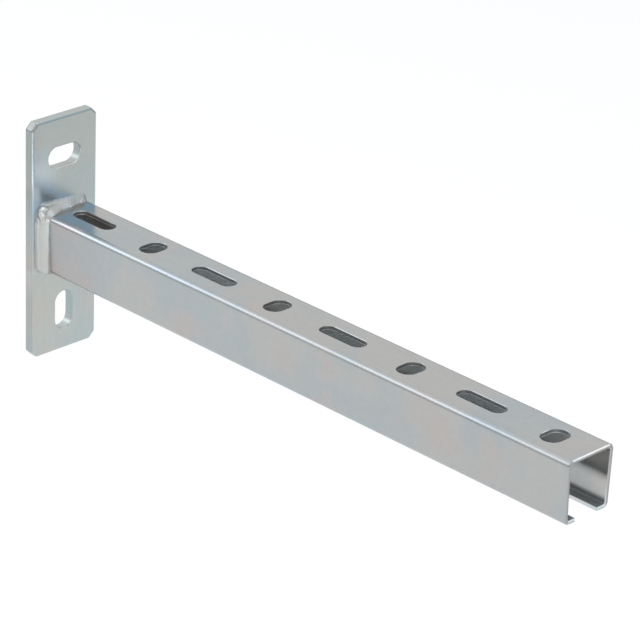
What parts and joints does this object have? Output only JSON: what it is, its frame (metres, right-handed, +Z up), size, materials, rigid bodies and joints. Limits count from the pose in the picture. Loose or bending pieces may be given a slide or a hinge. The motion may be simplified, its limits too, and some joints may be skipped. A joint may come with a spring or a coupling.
{
  "type": "cantilever strut arm",
  "caption": "Cantilever arm: a slotted lipped channel, open side down, fillet welded at one end to an upright wall plate with slotted fixing holes.",
  "frame": {"origin": "centre of the wall plate's back face, which lies against the wall", "axes": "+X runs out along the arm from the wall, +Z is up, +Y is to the right as seen from the free end"},
  "size_m": [0.45, 0.0532, 0.1614],
  "materials": {
    "zinc_plated_steel": "bright zinc plating",
    "zinc_plated_weld": "bright zinc plating over a weld bead"
  },
  "bodies": {
    "root": {"wall_plate": "zinc_plated_steel", "strut_channel": "zinc_plated_steel", "weld_top": "zinc_plated_weld", "weld_left": "zinc_plated_weld", "weld_right": "zinc_plated_weld"}
  },
  "joints": []
}
